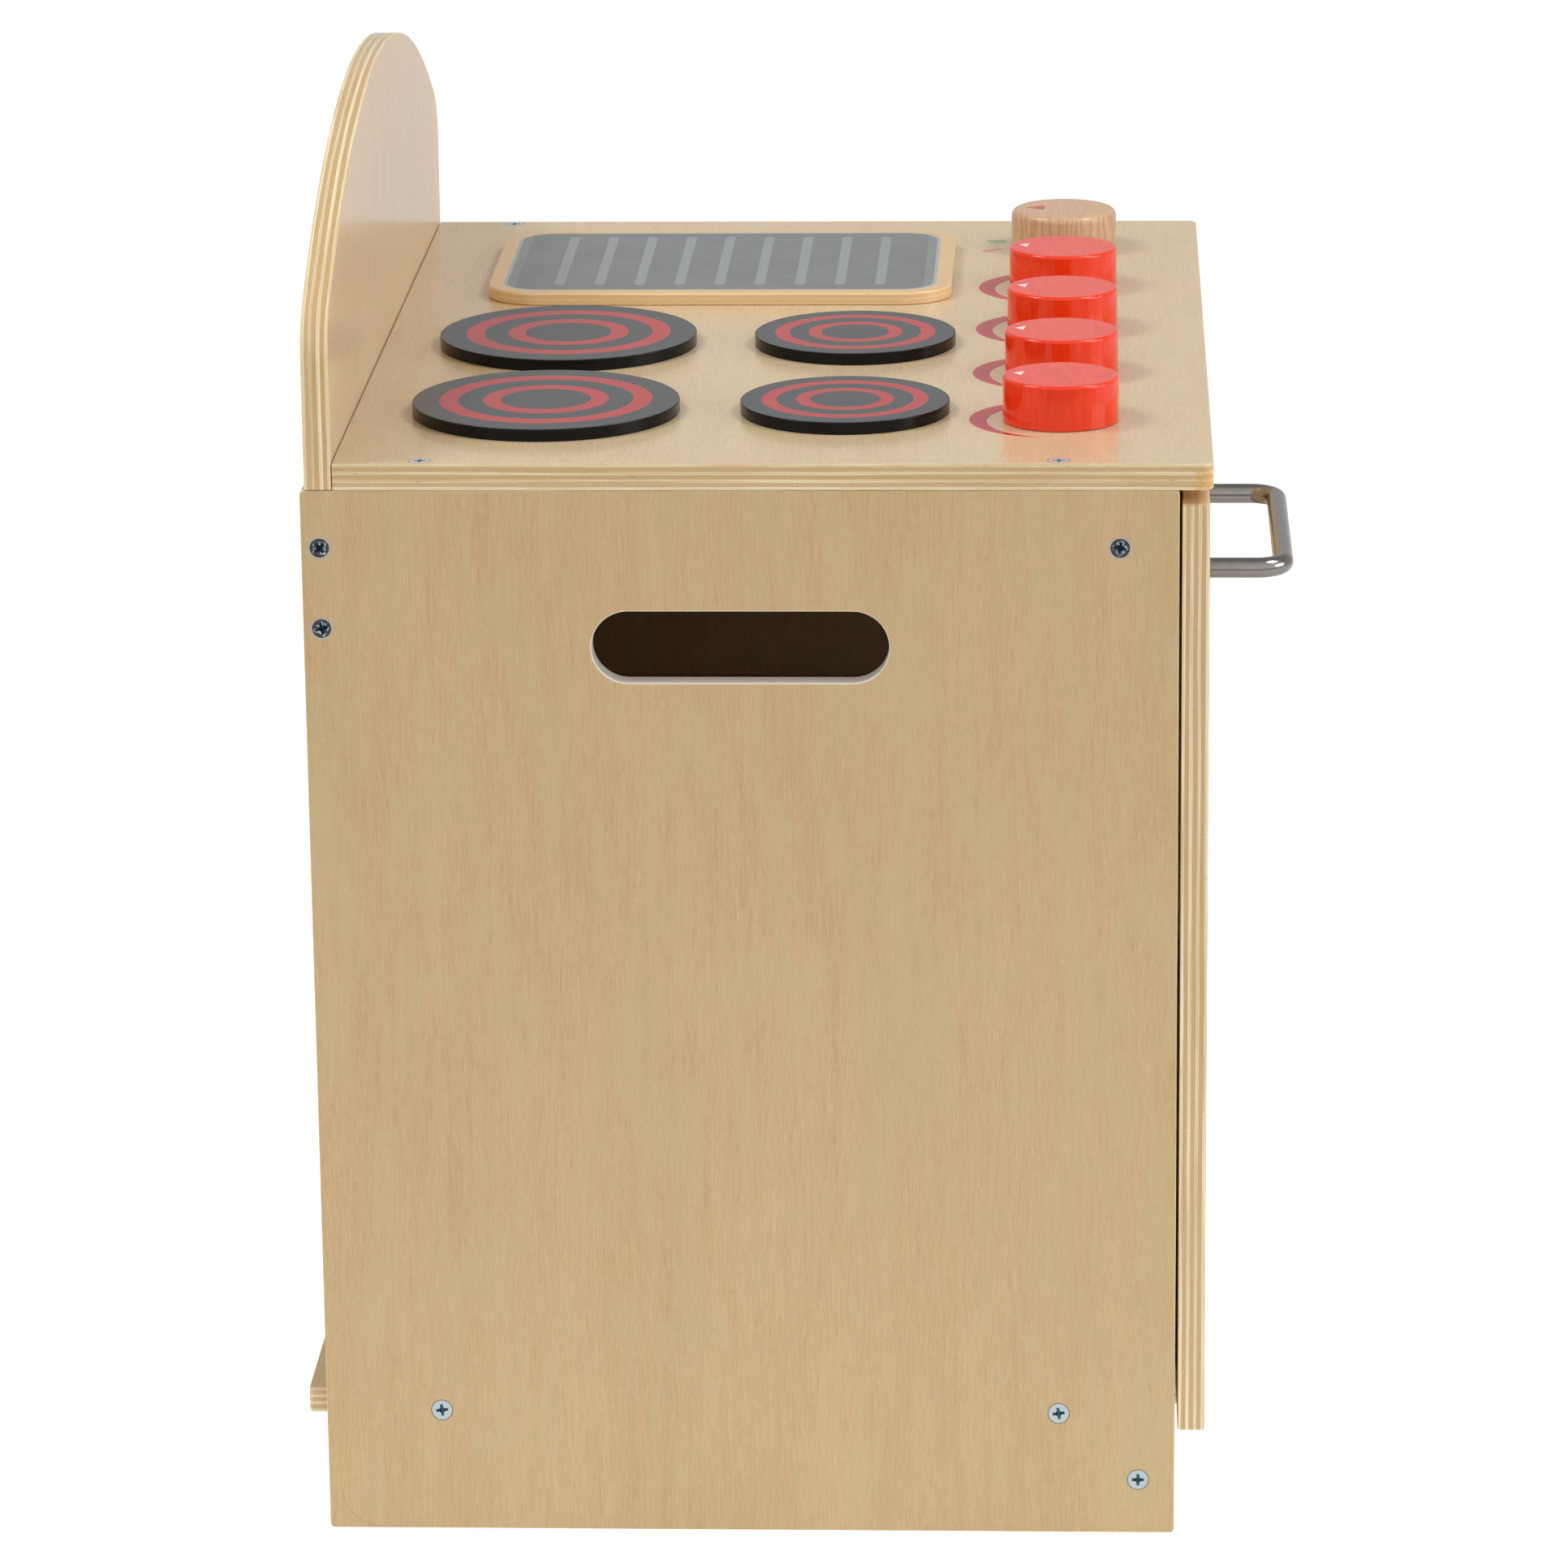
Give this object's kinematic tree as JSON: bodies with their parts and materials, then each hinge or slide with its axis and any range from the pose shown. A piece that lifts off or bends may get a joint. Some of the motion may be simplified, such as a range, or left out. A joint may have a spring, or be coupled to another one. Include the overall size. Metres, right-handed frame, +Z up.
{
  "type": "toy oven",
  "caption": "Plywood play stove with a drop-down windowed oven door, round burner plates, a griddle plate, turning knobs and an arched backsplash.",
  "frame": {"origin": "on the floor, under the middle of the outline", "axes": "+Z up, the door and the handle face -Y, +X is the griddle side"},
  "size_m": [0.525, 0.4444, 0.6275],
  "materials": {
    "birch_plywood": "clear satin lacquer over pale veneer, plies show at the edges",
    "thin_plywood": "clear satin lacquer",
    "beech": "bare fluted dowel",
    "knob_wood": "clear lacquer over striped softwood, red pointer",
    "red_lacquer": "gloss red lacquer over turned wood, white pointer",
    "burner_black": "black satin lacquer with two red rings",
    "griddle_print": "grey printed field with lighter bars inside a bare plywood rim",
    "satin_steel": "satin",
    "zinc_steel": "bright zinc plate",
    "hinge_steel": "nickel plate",
    "clear_acrylic": "clear, polished",
    "white_plastic": "matt moulded",
    "dark_magnet": "matt"
  },
  "bodies": {
    "cabinet": {"left_side": "birch_plywood", "right_side": "birch_plywood", "countertop": "birch_plywood", "backsplash": "birch_plywood", "front_rail": "birch_plywood", "bottom_board": "birch_plywood", "kick_board": "birch_plywood", "back_panel": "thin_plywood", "oven_shelf": "birch_plywood", "shelf_pins": "zinc_steel", "locating_dowels": "beech", "side_screws": "zinc_steel", "counter_screws": "zinc_steel", "left_hinge_base": "hinge_steel", "left_hinge_pin": "hinge_steel", "right_hinge_base": "hinge_steel", "right_hinge_pin": "hinge_steel", "hinge_base_screws": "zinc_steel", "catch_housing": "white_plastic", "catch_magnet": "dark_magnet", "catch_screws": "zinc_steel", "burner_rear_left": "burner_black", "burner_rear_middle": "burner_black", "burner_front_left": "burner_black", "burner_front_middle": "burner_black", "griddle_plate": "griddle_print", "knob_washers": "white_plastic"},
    "door": {"door_panel": "birch_plywood", "door_pane": "clear_acrylic", "pane_screws": "zinc_steel", "door_handle": "satin_steel", "handle_screws": "zinc_steel", "left_hinge_flap": "hinge_steel", "right_hinge_flap": "hinge_steel", "hinge_flap_screws": "zinc_steel", "strike_plate": "zinc_steel", "strike_screw": "zinc_steel"},
    "burner_knob_1": {"burner_knob_1": "red_lacquer", "burner_knob_screw_1": "zinc_steel"},
    "burner_knob_2": {"burner_knob_2": "red_lacquer", "burner_knob_screw_2": "zinc_steel"},
    "burner_knob_3": {"burner_knob_3": "red_lacquer", "burner_knob_screw_3": "zinc_steel"},
    "burner_knob_4": {"burner_knob_4": "red_lacquer", "burner_knob_screw_4": "zinc_steel"},
    "oven_knob": {"oven_knob": "knob_wood", "oven_knob_screw": "zinc_steel"}
  },
  "joints": [
    {"name": "door_hinge", "type": "hinge", "parent": "cabinet", "child": "door", "pos_m": [0, -0.16725, 0.0459], "axis": [1, 0, 0], "range_deg": [0, 88]},
    {"name": "burner_knob_1_turn", "type": "hinge", "parent": "cabinet", "child": "burner_knob_1", "pos_m": [-0.1785, -0.1155, 0.493], "axis": [0, 0, 1], "continuous": true},
    {"name": "burner_knob_2_turn", "type": "hinge", "parent": "cabinet", "child": "burner_knob_2", "pos_m": [-0.0854, -0.1155, 0.493], "axis": [0, 0, 1], "continuous": true},
    {"name": "burner_knob_3_turn", "type": "hinge", "parent": "cabinet", "child": "burner_knob_3", "pos_m": [0.0077, -0.1155, 0.493], "axis": [0, 0, 1], "continuous": true},
    {"name": "burner_knob_4_turn", "type": "hinge", "parent": "cabinet", "child": "burner_knob_4", "pos_m": [0.1008, -0.1155, 0.493], "axis": [0, 0, 1], "continuous": true},
    {"name": "oven_knob_turn", "type": "hinge", "parent": "cabinet", "child": "oven_knob", "pos_m": [0.1939, -0.1155, 0.493], "axis": [0, 0, 1], "continuous": true}
  ]
}
